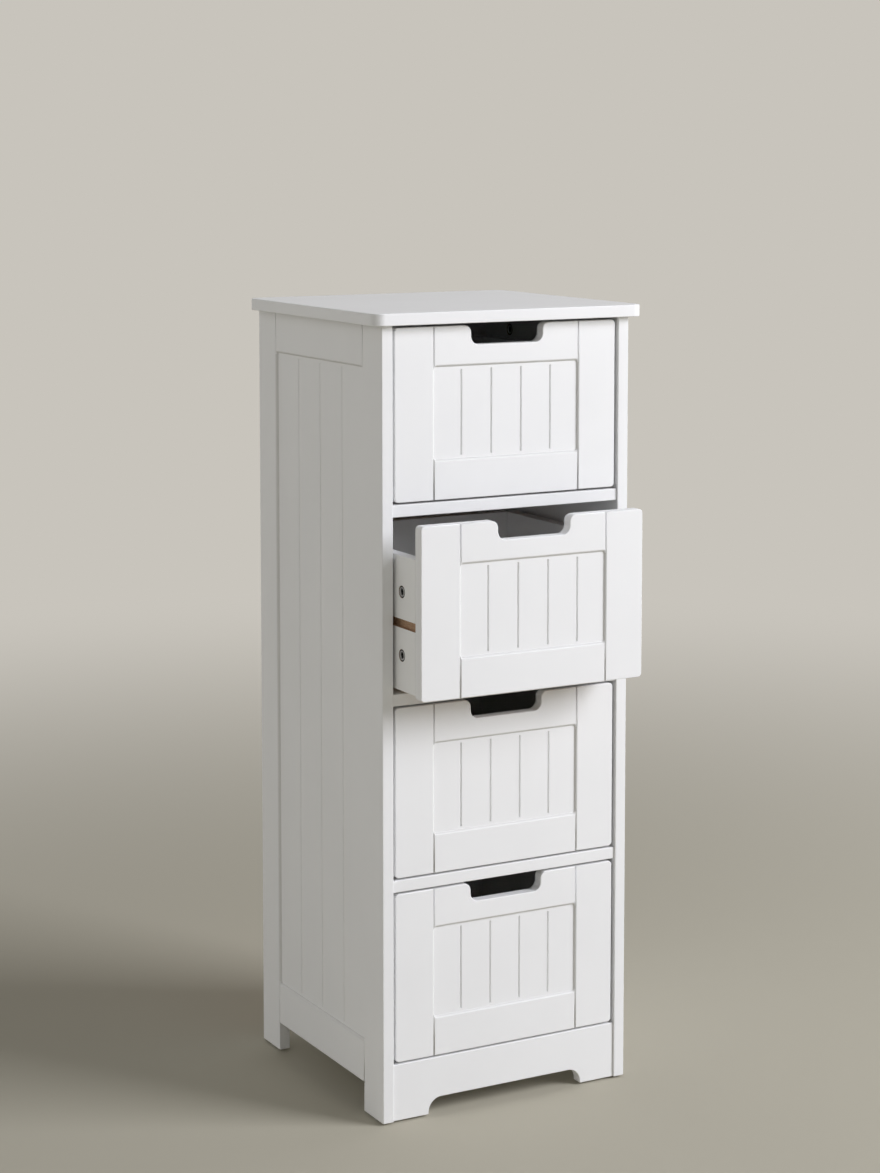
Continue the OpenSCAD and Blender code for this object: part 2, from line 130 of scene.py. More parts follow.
def add(tree, kind, inputs=None, **settings):
    """Adds a node to a tree. An input's value is a number, a colour, a size or a node's output."""
    node = tree.nodes.new(kind)
    for name, value in settings.items():
        setattr(node, name, value)
    for socket, value in (inputs or {}).items():
        if isinstance(value, Size):
            value = value.socket
        if isinstance(value, bpy.types.NodeSocket):
            tree.links.new(value, node.inputs[socket])
        else:
            node.inputs[socket].default_value = value
    return node


def new_material(name, **shader):
    """A material with a Principled shader. Returns it with its tree, shader and position."""
    material = bpy.data.materials.new(name)
    material.use_nodes = True
    tree = material.node_tree
    principled = tree.nodes["Principled BSDF"]
    for socket, value in shader.items():
        principled.inputs[socket.replace("_", " ")].default_value = value
    position = add(tree, "ShaderNodeTexCoord").outputs["Object"]
    return material, tree, principled, position


def noise(tree, position, scale, detail=2.0, roughness=0.5, stretch=(1, 1, 1)):
    """Noise of so many grains per metre, drawn out along an axis by stretch."""
    mapping = add(tree, "ShaderNodeMapping", {"Vector": position, "Scale": stretch})
    return add(tree, "ShaderNodeTexNoise", {
        "Vector": mapping.outputs["Vector"], "Scale": scale, "Detail": detail,
        "Roughness": roughness}).outputs["Fac"]


# The middle of a noise, where nearly all its values lie
NOISE_LOW, NOISE_HIGH = 0.3, 0.7


def spread(tree, value, low, high):
    """Spreads the middle of a noise over the range from low to high."""
    return add(tree, "ShaderNodeMapRange", {
        "Value": value, "From Min": NOISE_LOW, "From Max": NOISE_HIGH, "To Min": low,
        "To Max": high}).outputs["Result"]


def ramp(tree, value, low, high, **settings):
    """Rises from 0 to 1 while a value goes from low to high."""
    return add(tree, "ShaderNodeMapRange", {
        "Value": value, "From Min": low, "From Max": high}, **settings).outputs["Result"]


def colour_mix(tree, factor, first, second):
    """The first colour where the factor is 0 and the second where it is 1."""
    node = tree.nodes.new("ShaderNodeMix")
    node.data_type = "RGBA"
    tree.links.new(factor, node.inputs[0])
    for socket, value in ((node.inputs[6], first), (node.inputs[7], second)):
        if isinstance(value, bpy.types.NodeSocket):
            tree.links.new(value, socket)
        else:
            socket.default_value = (*value, 1)
    return node.outputs[2]


def lay_over(tree, principled, cover, colour):
    """Lays a second colour over a shader's own, as far as the cover says."""
    own = principled.inputs["Base Color"].links[0].from_socket
    tree.links.new(colour_mix(tree, cover, own, colour), principled.inputs["Base Color"])


def bump(tree, principled, height, strength, distance):
    """Gives a shader a relief of so much height."""
    relief = add(tree, "ShaderNodeBump", {
        "Height": height, "Strength": strength, "Distance": distance})
    tree.links.new(relief.outputs["Normal"], principled.inputs["Normal"])


def mottle(tree, principled, position, scale, first, second, rough, smooth):
    """Gives a shader a colour and a gloss that drift between two values each."""
    tone = spread(tree, noise(tree, position, scale, detail=3), 0, 1)
    tree.links.new(colour_mix(tree, tone, first, second), principled.inputs["Base Color"])
    gloss = spread(tree, noise(tree, position, 5 * scale), smooth, rough)
    tree.links.new(gloss, principled.inputs["Roughness"])


def satin_paint():
    """White satin lacquer on fibreboard, with the fine ripple of a sprayed coat, and painted shade on
    the rounding of a routed rim.
    """
    material, tree, principled, position = new_material("satin_paint", IOR=1.5)
    mottle(tree, principled, position, scale=9, rough=0.52, smooth=0.42,
           first=(0.872, 0.874, 0.876), second=(0.895, 0.897, 0.899))
    rounding = add(tree, "ShaderNodeAttribute", attribute_name="rounding").outputs["Fac"]
    # Painted shade on the rounding of the routed rims, greyer where they are steeper: it tones down
    # their highlight and darkens their shaded walls.
    painted_rim_shade = (0.70, 0.695, 0.68)
    lay_over(tree, principled, rounding, painted_rim_shade)
    bump(tree, principled, noise(tree, position, scale=420), strength=0.08, distance=0.1 * MM)
    return material


def white_foil():
    """White paper foil of the drawer boxes, flatter than the paint."""
    material, tree, principled, position = new_material("white_foil", IOR=1.45)
    mottle(tree, principled, position, scale=14, rough=0.6, smooth=0.5,
           first=(0.90, 0.90, 0.89), second=(0.92, 0.92, 0.91))
    paper = noise(tree, position, scale=900, detail=3)
    bump(tree, principled, paper, strength=0.06, distance=0.08 * MM)
    return material


def raw_fibreboard():
    """Bare brown fibreboard, as in the grooves and on the back of the thin panels."""
    material, tree, principled, position = new_material("raw_fibreboard", Roughness=0.9)
    fibres = noise(tree, position, scale=700, detail=5, roughness=0.7, stretch=(1, 0.25, 1))
    patches = spread(tree, noise(tree, position, scale=60, detail=3), 0, 1)
    light = colour_mix(tree, patches, (0.66, 0.46, 0.31), (0.56, 0.38, 0.24))
    dark = (0.36, 0.22, 0.13)
    colour = colour_mix(tree, spread(tree, fibres, 0, 1), dark, light)
    tree.links.new(colour, principled.inputs["Base Color"])
    bump(tree, principled, fibres, strength=0.5, distance=0.2 * MM)
    return material


def cast_zinc():
    """Die-cast zinc of the cam locks, with painted shade, near black, in the dish and around the raised
    rim.
    """
    material, tree, principled, position = new_material("cast_zinc", Metallic=1.0)
    mottle(tree, principled, position, scale=500, rough=0.5, smooth=0.34,
           first=(0.66, 0.66, 0.67), second=(0.78, 0.78, 0.79))
    place = add(tree, "ShaderNodeAttribute", attribute_name="grain").outputs["Vector"]
    depth = -Size(tree, add(tree, "ShaderNodeSeparateXYZ", {"Vector": place}).outputs["Z"])
    outwards = add(tree, "ShaderNodeVectorMath", {0: place, 1: (1, 1, 0)}, operation="MULTIPLY")
    radius = add(tree, "ShaderNodeVectorMath", {0: outwards.outputs["Vector"]}, operation="LENGTH")
    rim_r, blur = RIM_W / 2, 0.1 * MM
    # Painted shade: a near-black grey laid over the dish and the ring outside the raised rim, where the
    # lock's recess and the gap round it lie in shade.
    painted_shade_from, painted_shade_to = DISH_DEPTH - 0.9 * MM, DISH_DEPTH - 0.2 * MM
    within = ramp(tree, depth, painted_shade_from, painted_shade_to)
    around = ramp(tree, radius.outputs["Value"], rim_r - blur, rim_r + blur)
    painted_shade = depth.math("MAXIMUM", within, around).socket
    painted_shade_grey = (0.05, 0.05, 0.055)
    lay_over(tree, principled, painted_shade, painted_shade_grey)
    skin = noise(tree, position, scale=4000, detail=3)
    bump(tree, principled, skin, strength=0.25, distance=0.05 * MM)
    return material


def plated_steel():
    """Bright zinc plating on the screws and bolts."""
    material, tree, principled, position = new_material("plated_steel", Metallic=1.0)
    mottle(tree, principled, position, scale=350, rough=0.38, smooth=0.22,
           first=(0.60, 0.60, 0.59), second=(0.72, 0.73, 0.75))
    bump(tree, principled, noise(tree, position, scale=3000), strength=0.12, distance=0.03 * MM)
    return material


def moulded_plastic(name, first, second):
    """Matt moulded plastic with a spark-eroded skin and a little light going in."""
    material, tree, principled, position = new_material(
        name, IOR=1.53, Subsurface_Weight=0.15, Subsurface_Radius=(0.004, 0.004, 0.003),
        Subsurface_Scale=0.3)
    mottle(tree, principled, position, scale=60, rough=0.55, smooth=0.42, first=first, second=second)
    skin = noise(tree, position, scale=2600, detail=4, roughness=0.6)
    bump(tree, principled, skin, strength=0.2, distance=0.04 * MM)
    return material


def beech():
    """Pale beech of the dowels, with its grain and flecks along each dowel."""
    material, tree, principled, position = new_material("beech", Roughness=0.7)
    along = add(tree, "ShaderNodeAttribute", attribute_name="grain").outputs["Vector"]
    streaks = noise(tree, along, scale=900, detail=4, roughness=0.6, stretch=(1, 1, 0.05))
    flecks = noise(tree, along, scale=2500, stretch=(1, 1, 0.2))
    wood = colour_mix(tree, spread(tree, streaks, 0, 1), (0.56, 0.36, 0.20), (0.70, 0.50, 0.31))
    fleck_brown = (0.36, 0.20, 0.10)
    colour = colour_mix(tree, spread(tree, flecks, 0, 0.25), wood, fleck_brown)
    tree.links.new(colour, principled.inputs["Base Color"])
    bump(tree, principled, streaks, strength=0.3, distance=0.08 * MM)
    return material


def thickness_axis(lo, hi):
    """The axis along which a board is thinnest."""
    size = hi - lo
    return min(range(3), key=lambda axis: size[axis])


def flat_regions(bm):
    """Groups of faces that lie in one plane and touch."""
    seen = set()
    for start in bm.faces:
        if start in seen:
            continue
        region, queue = {start}, [start]
        while queue:
            for edge in queue.pop().edges:
                if edge.calc_face_angle(0) > LEVEL:
                    continue
                found = set(edge.link_faces) - region
                region |= found
                queue += found
        seen |= region
        yield region


def outlines(region):
    """The closed outlines of a region, its own and those of its holes, as sets of vertices."""
    rim = {edge for face in region for edge in face.edges
           if any(other not in region for other in edge.link_faces)}
    while rim:
        start = rim.pop()
        outline, queue = set(start.verts), list(start.verts)
        while queue:
            found = {edge for edge in queue.pop().link_edges if edge in rim}
            rim -= found
            reached = {vert for edge in found for vert in edge.verts} - outline
            outline |= reached
            queue += reached
        yield outline


def cutting_places(spans, places):
    """Few places that between them lie inside every span, each far from the given places."""
    chosen = []
    spans = sorted(spans, key=lambda span: span[1])
    while spans:
        low, high = spans[0]
        for start, end in spans:
            if min(high, end) - max(low, start) > (high - low) / 2:
                low, high = max(low, start), min(high, end)
        stops = [low, *(place for place in places if low < place < high), high]
        place = max((end - start, (start + end) / 2) for start, end in zip(stops, stops[1:]))[1]
        chosen.append(place)
        spans = [span for span in spans if not span[0] < place < span[1]]
    return chosen


def parts_of(region):
    """The vertices, edges and faces of a region."""
    return [*{vert for face in region for vert in face.verts},
            *{edge for face in region for edge in face.edges}, *region]


def cut_holes_open(bm):
    """Splits each flat region across its holes, with seams, so that no face needs a hole."""
    for region in list(flat_regions(bm)):
        loops = list(outlines(region))
        if len(loops) < 2:
            continue
        points = [vert.co for face in region for vert in face.verts]
        reach = [max(point[k] for point in points) - min(point[k] for point in points)
                 for k in range(3)]
        axis = reach.index(max(reach))
        spans = [(min(vert.co[axis] for vert in loop), max(vert.co[axis] for vert in loop))
                 for loop in loops]
        spans.remove(max(spans, key=lambda span: span[1] - span[0]))
        across = Vector([k == axis for k in range(3)])
        for place in cutting_places(spans, sorted(point[axis] for point in points)):
            cut = bmesh.ops.bisect_plane(
                bm, geom=parts_of(region), plane_co=across * place, plane_no=across)
            region = [part for part in cut["geom"] if isinstance(part, bmesh.types.BMFace)]
            for part in cut["geom_cut"]:
                if isinstance(part, bmesh.types.BMEdge):
                    part.seam = True


def welded(node):
    """The node's mesh with its doubles merged."""
    bm = bmesh.new()
    bm.from_mesh(nodes[node].data)
    bmesh.ops.remove_doubles(bm, verts=bm.verts, dist=WELD)
    return bm


def whole_faces(node):
    """The node's mesh with as few faces as its flats allow."""
    bm = welded(node)
    cut_holes_open(bm)
    bmesh.ops.dissolve_limit(bm, angle_limit=LEVEL, verts=bm.verts, edges=bm.edges, delimit={"SEAM"})
    bm.normal_update()
    return bm


def span_across(face, axis):
    """The lowest and the highest place of a face along an axis."""
    places = [vert.co[axis] for vert in face.verts]
    return min(places), max(places)


def edge_weight(edge, axis, lo, hi):
    """How round an edge is: 1 on the board's outline, less on the lip of a groove, else none."""
    if len(edge.link_faces) != 2 or edge.calc_face_angle(0) < SHARP or not edge.is_convex:
        return 0
    outside, flats = 0, 0
    for face in edge.link_faces:
        low, high = span_across(face, axis)
        flat = abs(face.normal[axis]) > FLAT
        on_face = flat and (low < lo[axis] + SKIN or high > hi[axis] - SKIN)
        outside += on_face or high - low > THROUGH * (hi[axis] - lo[axis])
        flats += flat
    return 1 if outside == 2 else LIP if flats else 0


def is_bare(face, axis, lo, hi, routed, raw_side):
    """Whether a face is a cut into the board, and not its outside, its outline or its routed face."""
    low, high = span_across(face, axis)
    through = high - low > THROUGH * (hi[axis] - lo[axis])
    if raw_side:
        return through or face.normal.dot(raw_side) > FLAT
    centre = face.calc_center_median()
    if through or not all(lo[k] + SKIN < centre[k] < hi[k] - SKIN for k in range(3)):
        return False
    depth = centre[axis] - lo[axis] if routed < 0 else hi[axis] - centre[axis]
    return not routed or depth > ROUTED_DEPTH


def is_rounding(face, axis, lo, hi, routed):
    """Whether a face is one of the narrow strips that round over the rim of a routed panel."""
    low, high = span_across(face, axis)
    depth = high - lo[axis] if routed < 0 else hi[axis] - low
    width = face.calc_area() / max(edge.calc_length() for edge in face.edges)
    return routed and depth < ROUTED_DEPTH and width < ROUNDING_STRIP


def steepness(vert, axis):
    """How steep the surface is at a point: 0 where it is level with the board, and 1 upright."""
    return max(0.0, 1 - vert.normal[axis] ** 2) ** 0.5


def board(node, outside, inside, arris=ARRIS, routed=0, raw_side=None):
    """A board with softened edges. Its outside is finished and its cuts show what is inside."""
    bm = whole_faces(node)
    lo, hi = (Vector(corner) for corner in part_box(node))
    axis = thickness_axis(lo, hi)
    weights = bm.edges.layers.float.new("bevel_weight_edge")
    rounding = bm.loops.layers.float.new("rounding")
    for edge in bm.edges:
        edge[weights] = edge_weight(edge, axis, lo, hi)
        edge.smooth = edge[weights] > 0 or edge.calc_face_angle(0) < SHARP
    for face in bm.faces:
        face.material_index = is_bare(face, axis, lo, hi, routed, raw_side)
        face.smooth = True
        if is_rounding(face, axis, lo, hi, routed):
            for corner in face.loops:
                corner[rounding] = steepness(corner.vert, axis)
    mesh = bpy.data.meshes.new(node + "_finished")
    bm.to_mesh(mesh)
    bm.free()
    mesh.materials.append(outside)
    mesh.materials.append(inside)
    piece = new_piece(node, mesh)
    soften = piece.modifiers.new("arris", "BEVEL")
    soften.limit_method = "WEIGHT"
    soften.width = arris
    soften.segments = 3
    soften.use_clamp_overlap = False
    soften.miter_outer = "MITER_ARC"
    piece.modifiers.new("shading", "WEIGHTED_NORMAL").keep_sharp = True
    finish(piece, node)


def new_piece(node, mesh):
    """A finished piece's object, at the origin."""
    piece = bpy.data.objects.new(node + "_finished", mesh)
    bpy.context.scene.collection.objects.link(piece)
    return piece


def finish(piece, node):
    """Makes a piece's modifiers real and puts it in the node's place."""
    graph = bpy.context.evaluated_depsgraph_get()
    mesh = bpy.data.meshes.new_from_object(piece.evaluated_get(graph))
    piece.modifiers.clear()
    piece.data = mesh
    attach(piece, body_of_node[node])
    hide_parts(node)


# Fittings. Each is turned about z with its wide end at z = 0 and the rest below.

def solids_of(node):
    """The corner points of each separate solid of a node."""
    bm = welded(node)
    left = set(bm.verts)
    while left:
        start = left.pop()
        part, queue = [], [start]
        while queue:
            vert = queue.pop()
            part.append(vert.co.copy())
            near = {edge.other_vert(vert) for edge in vert.link_edges} & left
            left -= near
            queue += near
        yield part
    bm.free()


def seat_of(points):
    """A fitting's place and turn, and its length and width, from its corner points."""
    lo = Vector([min(point[k] for point in points) for k in range(3)])
    hi = Vector([max(point[k] for point in points) for k in range(3)])
    size, middle = hi - lo, (lo + hi) / 2
    axis = max(range(3), key=lambda k: min(abs(size[k] - size[j]) for j in range(3) if j != k))
    length = size[axis]
    up = Vector([float(k == axis) for k in range(3)])
    spokes = [point - middle - up * (point - middle).dot(up) for point in points]
    width = max(spoke.length for spoke in spokes)
    wide = [point for point, spoke in zip(points, spokes) if spoke.length > width - NEAR]
    lean = sum((point - middle).dot(up) for point in wide) / len(wide)
    if abs(lean) < MM:
        # As wide at both ends: up is the end with more points, or else the one farther along
        ends = [sum(abs(point[axis] - end) < WELD for point in points) for end in (lo[axis], hi[axis])]
        lean = ends[1] - ends[0] + 0.5
    if lean < 0:
        up.negate()
    waist = [spoke for point, spoke in zip(points, spokes)
             if abs((point - middle).dot(up)) < length / 4]
    side = sum(waist, Vector())
    if side.length < MM:
        side = up.yzx
    side = (side - up * side.dot(up)).normalized()
    turn = Matrix((side, up.cross(side), up)).transposed().to_euler()
    return tuple(middle + up * length / 2), tuple(turn), length, 2 * width


def new_fitting(name, **sizes):
    """A node tree with an input for the points, one for each size and one for the finish."""
    tree = bpy.data.node_groups.new(name, "GeometryNodeTree")
    tree.interface.new_socket("Points", in_out="INPUT", socket_type="NodeSocketGeometry")
    tree.interface.new_socket("Finish", in_out="INPUT", socket_type="NodeSocketMaterial")
    for size, value in sizes.items():
        socket = tree.interface.new_socket(size, in_out="INPUT", socket_type="NodeSocketFloat")
        socket.default_value = value
    tree.interface.new_socket("Fittings", in_out="OUTPUT", socket_type="NodeSocketGeometry")
    entry = tree.nodes.new("NodeGroupInput")
    return tree, entry, [Size(tree, entry.outputs[size]) for size in sizes]


def move(tree, shape, x=0.0, z=0.0, turn=(0, 0, 0)):
    """The shape turned, then moved along x and z."""
    place = add(tree, "ShaderNodeCombineXYZ", {"X": x, "Z": z}).outputs["Vector"]
    return add(tree, "GeometryNodeTransform", {
        "Geometry": shape, "Translation": place, "Rotation": turn}).outputs["Geometry"]


def rings(tree, profile, sides, inwards=False):
    """Rings turned from radius and height, listed upwards, and seen from within if inwards."""
    found = []
    for (r_low, low), (r_high, high) in zip(profile, profile[1:]):
        ring = add(tree, "GeometryNodeMeshCone", {
            "Vertices": sides, "Radius Bottom": r_low, "Radius Top": r_high,
            "Depth": high - low}, fill_type="NONE").outputs["Mesh"]
        if inwards:
            ring = add(tree, "GeometryNodeFlipFaces", {"Mesh": ring}).outputs["Mesh"]
        found.append(move(tree, ring, z=low))
    return found


# The length over which a thread or a flute runs out, and the seed that turns the fittings by chance
RUN_OUT = 0.8 * MM
SEED = 7


def wound(tree, radius, low, high, sides, steps, rise, along, around):
    """A stretch of shank with ridges that run out at both ends: a thread, or flutes.

    The ridges count along per metre of height and around per turn.
    """
    length = high - low
    shank = add(tree, "GeometryNodeMeshCone", {
        "Vertices": sides, "Side Segments": steps, "Radius Bottom": radius, "Radius Top": radius,
        "Depth": length}, fill_type="NONE").outputs["Mesh"]
    place = tree.nodes.new("GeometryNodeInputPosition").outputs[0]
    split = add(tree, "ShaderNodeSeparateXYZ", {"Vector": place})
    x, y, z = (Size(tree, split.outputs[k]) for k in range(3))
    phase = z * along - z.math("ARCTAN2", y, x) * (around / (2 * pi))
    ridge = z.math("PINGPONG", phase, 0.5) * 2
    run_out = z.math("MINIMUM", z.math("MINIMUM", z, length - z) / RUN_OUT, 1.0)
    out = add(tree, "ShaderNodeVectorMath", {0: place, 1: (1, 1, 0)}, operation="MULTIPLY").outputs[0]
    out = add(tree, "ShaderNodeVectorMath", {0: out}, operation="NORMALIZE").outputs[0]
    out = add(tree, "ShaderNodeVectorMath", {0: out, "Scale": ridge * run_out * rise}, operation="SCALE")
    shaped = add(tree, "GeometryNodeSetPosition", {"Geometry": shank, "Offset": out.outputs[0]})
    return move(tree, shaped.outputs["Geometry"], z=low)


def join(tree, parts):
    """Parts joined to one solid where their edges meet."""
    joined = tree.nodes.new("GeometryNodeJoinGeometry")
    for part in parts:
        tree.links.new(part, joined.inputs[0])
    return add(tree, "GeometryNodeMergeByDistance", {
        "Geometry": joined.outputs[0], "Distance": WELD}).outputs["Geometry"]


def cross_cutters(tree, length, width, depth, top):
    """Two crossed bars and a deeper pointed middle, to be cut from a face at height top."""
    point_depth = depth * 1.5
    cutters = []
    for x, y in ((length, width), (width, length)):
        size = add(tree, "ShaderNodeCombineXYZ", {"X": x, "Y": y, "Z": depth * 2}).outputs["Vector"]
        bar = add(tree, "GeometryNodeMeshCube", {"Size": size}).outputs["Mesh"]
        cutters.append(move(tree, bar, z=top))
    point = add(tree, "GeometryNodeMeshCone", {
        "Vertices": 12, "Radius Bottom": 0.0, "Radius Top": width,
        "Depth": depth * 2}, fill_type="NGON").outputs["Mesh"]
    cutters.append(move(tree, point, z=top - point_depth))
    return cutters


def cut_away(tree, solid, cutters):
    """The solid without its cutters."""
    cut = add(tree, "GeometryNodeMeshBoolean", {"Mesh 1": solid}, operation="DIFFERENCE", solver="EXACT")
    for cutter in cutters:
        tree.links.new(cutter, cut.inputs["Mesh 2"])
    return cut.outputs["Mesh"]


def set_out(tree, entry, solid, turned_by=0.0):
    """Puts the solid on every point, turned as the point says and by chance about its own axis."""
    place = tree.nodes.new("GeometryNodeInputPosition").outputs[0]
    store = add(tree, "GeometryNodeStoreNamedAttribute", {"Geometry": solid, "Name": "grain"},
                data_type="FLOAT_VECTOR")
    tree.links.new(place, store.inputs["Value"])
    angle = tree.nodes.new("GeometryNodeInputMeshEdgeAngle").outputs["Unsigned Angle"]
    crease = add(tree, "ShaderNodeMath", {0: angle, 1: SHARP}, operation="GREATER_THAN").outputs[0]
    smooth = add(tree, "GeometryNodeSetShadeSmooth", {
        "Geometry": store.outputs["Geometry"], "Shade Smooth": True})
    creased = add(tree, "GeometryNodeSetShadeSmooth", {
        "Geometry": smooth.outputs["Geometry"], "Selection": crease,
        "Shade Smooth": False}, domain="EDGE")
    facing = add(tree, "GeometryNodeInputNamedAttribute", {"Name": "facing"}, data_type="FLOAT_VECTOR")
    turn = add(tree, "FunctionNodeEulerToRotation", {"Euler": facing.outputs["Attribute"]})
    placed = add(tree, "GeometryNodeInstanceOnPoints", {
        "Points": entry.outputs["Points"], "Instance": creased.outputs["Geometry"],
        "Rotation": turn.outputs["Rotation"]})
    chance = add(tree, "FunctionNodeRandomValue", {2: 0.0, 3: turned_by, "Seed": SEED},
                 data_type="FLOAT")
    about = add(tree, "ShaderNodeCombineXYZ", {"Z": chance.outputs[1]})
    spun = add(tree, "GeometryNodeRotateInstances", {
        "Instances": placed.outputs["Instances"], "Rotation": about.outputs["Vector"],
        "Local Space": True})
    real = add(tree, "GeometryNodeRealizeInstances", {"Geometry": spun.outputs["Instances"]})
    finished = add(tree, "GeometryNodeSetMaterial", {
        "Geometry": real.outputs["Geometry"], "Material": entry.outputs["Finish"]})
    out = tree.nodes.new("NodeGroupOutput")
    tree.links.new(finished.outputs["Geometry"], out.inputs["Fittings"])
    return tree


def cam_lock():
    """A cam lock with a raised rim around a dish with a cross in it, and the bolt's way in."""
    tree, entry, (length, width, rim_w, dish_w, dish, bolt_way, bolt_below) = new_fitting("cam_lock", **{
        "Length": 9.5 * MM, "Width": 12 * MM, "Rim": RIM_W, "Dish": DISH_W, "Dish depth": DISH_DEPTH,
        "Bolt way": 5.2 * MM, "Bolt below": 6 * MM})
    r, rim_r, dish_r = width / 2, rim_w / 2, dish_w / 2
    ease, chamfer, step = 0.55 * MM, 0.2 * MM, 0.3 * MM
    rim_slope, dish_slope, past_axis = 0.1 * MM, 0.3 * MM, 2.1 * MM
    outside = [
        (0, -length), (r - ease, -length), (r, ease - length), (r, -step - chamfer),
        (r - chamfer, -step), (rim_r, -step), (rim_r - rim_slope, 0), (dish_r, 0)]
    inside = [(0, -dish), (dish_r - dish_slope, -dish), (dish_r, 0)]
    body = join(tree, rings(tree, outside, sides=48) + rings(tree, inside, sides=48, inwards=True))
    way = add(tree, "GeometryNodeMeshCone", {
        "Vertices": 24, "Radius Bottom": bolt_way / 2, "Radius Top": bolt_way / 2,
        "Depth": width}, fill_type="NGON").outputs["Mesh"]
    way = move(tree, way, x=-past_axis, z=-bolt_below, turn=(0, pi / 2, 0))
    cross = cross_cutters(tree, length=6 * MM, width=1.5 * MM, depth=1 * MM, top=-dish)
    return set_out(tree, entry, cut_away(tree, body, [way, *cross]))


def cam_bolt():
    """A cam bolt: coarse thread, shank, neck and round head."""
    tree, entry, (length, width) = new_fitting("cam_bolt", Length=36.5 * MM, Width=6 * MM)
    r, shank_r, neck_r, head_r = width / 2, 2.2 * MM, 1.5 * MM, 2.5 * MM
    thread_l, pitch, ridge = 8 * MM, 2.2 * MM, 0.7 * MM
    core, chamfer, tip, ease = r - 0.75 * MM, 0.8 * MM, 0.5 * MM, 1 * MM
    head_z, neck_z = 3.5 * MM - length, 7.5 * MM - length
    parts = rings(tree, [
        (0, -length), (head_r - ease, -length), (head_r, ease - length), (head_r, head_z - ease),
        (neck_r, head_z), (neck_r, neck_z), (shank_r, neck_z), (shank_r, -thread_l),
        (core, -thread_l)], sides=24)
    parts.append(wound(tree, core, -thread_l, -chamfer, sides=24, steps=36, rise=ridge,
                       along=1 / pitch, around=1))
    parts += rings(tree, [(core, -chamfer), (core - tip, 0), (0, 0)], sides=24)
    return set_out(tree, entry, join(tree, parts), 2 * pi)


def wood_screw():
    """A countersunk screw with a cross recess, a threaded shank and a point."""
    tree, entry, (length, width) = new_fitting("wood_screw", Length=30 * MM, Width=7 * MM)
    r, core, ridge, edge = width / 2, 1.15 * MM, 0.55 * MM, 0.15 * MM
    head_l, neck_l, point_l, pitch = 1.75 * MM, 1 * MM, 3 * MM, 1.6 * MM
    neck_z, point_z = -head_l - neck_l, point_l - length
    parts = rings(tree, [(0, -length), (core, point_z)], sides=16)
    parts.append(wound(tree, core, point_z, neck_z, sides=16, steps=90, rise=ridge,
                       along=1 / pitch, around=1))
    parts += rings(tree, [
        (core, neck_z), (core + ridge, -head_l), (r, -edge), (r - edge, 0), (0, 0)], sides=16)
    cross = cross_cutters(tree, length=3.6 * MM, width=0.9 * MM, depth=1.1 * MM, top=0.0)
    return set_out(tree, entry, cut_away(tree, join(tree, parts), cross), 2 * pi)


def fluted_dowel():
    """A beech dowel with chamfered ends and pressed flutes."""
    tree, entry, (length, width) = new_fitting("fluted_dowel", Length=24 * MM, Width=6 * MM)
    r, flute, chamfer = width / 2, 0.25 * MM, 1 * MM
    core = r - flute
    parts = rings(tree, [(0, -length), (r - chamfer, -length), (core, chamfer - length)], sides=64)
    parts.append(wound(tree, core, chamfer - length, -chamfer, sides=64, steps=24, rise=flute,
                       along=0.0, around=16))
    parts += rings(tree, [(core, -chamfer), (r - chamfer, 0), (0, 0)], sides=64)
    return set_out(tree, entry, join(tree, parts), 2 * pi)


def nail_glide():
    """A round glide with a domed foot, on its nail."""
    tree, entry, (length, width) = new_fitting("nail_glide", Length=14 * MM, Width=10 * MM)
    r, foot_t, ease = width / 2, 2 * MM, 0.5 * MM
    nail_r, point_l = 0.9 * MM, 2 * MM
    nail = [(0, -length), (nail_r, point_l - length), (nail_r, -foot_t)]
    foot = [(r - ease / 2, -foot_t), (r, ease / 2 - foot_t), (r, -ease)]
    dome = [(r - 0.3 * ease, -0.35 * ease), (r - ease, -0.1 * ease), (r - 2 * ease, 0), (0, 0)]
    return set_out(tree, entry, join(tree, rings(tree, nail + foot + dome, sides=48)))


def fit_out(node, fitting, finish_material):
    """Replaces a node's fittings by the tree's, one on each of their places."""
    seats = sorted(seat_of(points) for points in solids_of(node))
    mesh = bpy.data.meshes.new(node + "_places")
    mesh.from_pydata([place for place, turn, length, width in seats], [], [])
    facing = mesh.attributes.new("facing", "FLOAT_VECTOR", "POINT")
    for entry, (place, turn, length, width) in zip(facing.data, seats):
        entry.vector = turn
    piece = new_piece(node, mesh)
    modifier = piece.modifiers.new("fittings", "NODES")
    modifier.node_group = fitting
    values = {"Finish": finish_material, "Length": seats[0][2], "Width": seats[0][3]}
    for socket in fitting.interface.items_tree:
        if socket.name in values:
            modifier[socket.identifier] = values[socket.name]
    finish(piece, node)


# Camera fitted to the photo, in the object's frame. Its axis meets the image in the row given
IMAGE_W, IMAGE_H = 880, 1173
FOCAL_PX = 2564.0
AXIS_ROW_PX = 382.1
CAMERA_PLACE = Vector((-1.26706, -2.27464, 0.96458))
CAMERA_AZIMUTH = radians(28.85)
CAMERA_DOWN = radians(5.402)
SENSOR = 36.0


def add_camera():
    """The camera at the photo's place and angle."""
    data = bpy.data.cameras.new("camera")
    data.sensor_fit = "HORIZONTAL"
    data.sensor_width = SENSOR
    data.lens = SENSOR * FOCAL_PX / IMAGE_W
    data.shift_y = (AXIS_ROW_PX - IMAGE_H / 2) / IMAGE_W
    data.clip_start, data.clip_end = 0.05, 200
    camera = bpy.data.objects.new("camera", data)
    bpy.context.scene.collection.objects.link(camera)
    turn = Matrix.Rotation(-CAMERA_AZIMUTH, 4, "Z") @ Matrix.Rotation(pi / 2 - CAMERA_DOWN, 4, "X")
    camera.matrix_world = Matrix.Translation(CAMERA_PLACE) @ turn
    bpy.context.scene.camera = camera


# A window-like light from the front right
KEY_AZIMUTH = radians(45)
KEY_HEIGHT = radians(27)
KEY_DISTANCE = 4.0
KEY_SIZE = 2.0
KEY_POWER = 152.0
KEY_COLOUR = (0.985, 0.995, 1.06)
AIM = Vector((0, 0, 0.45))

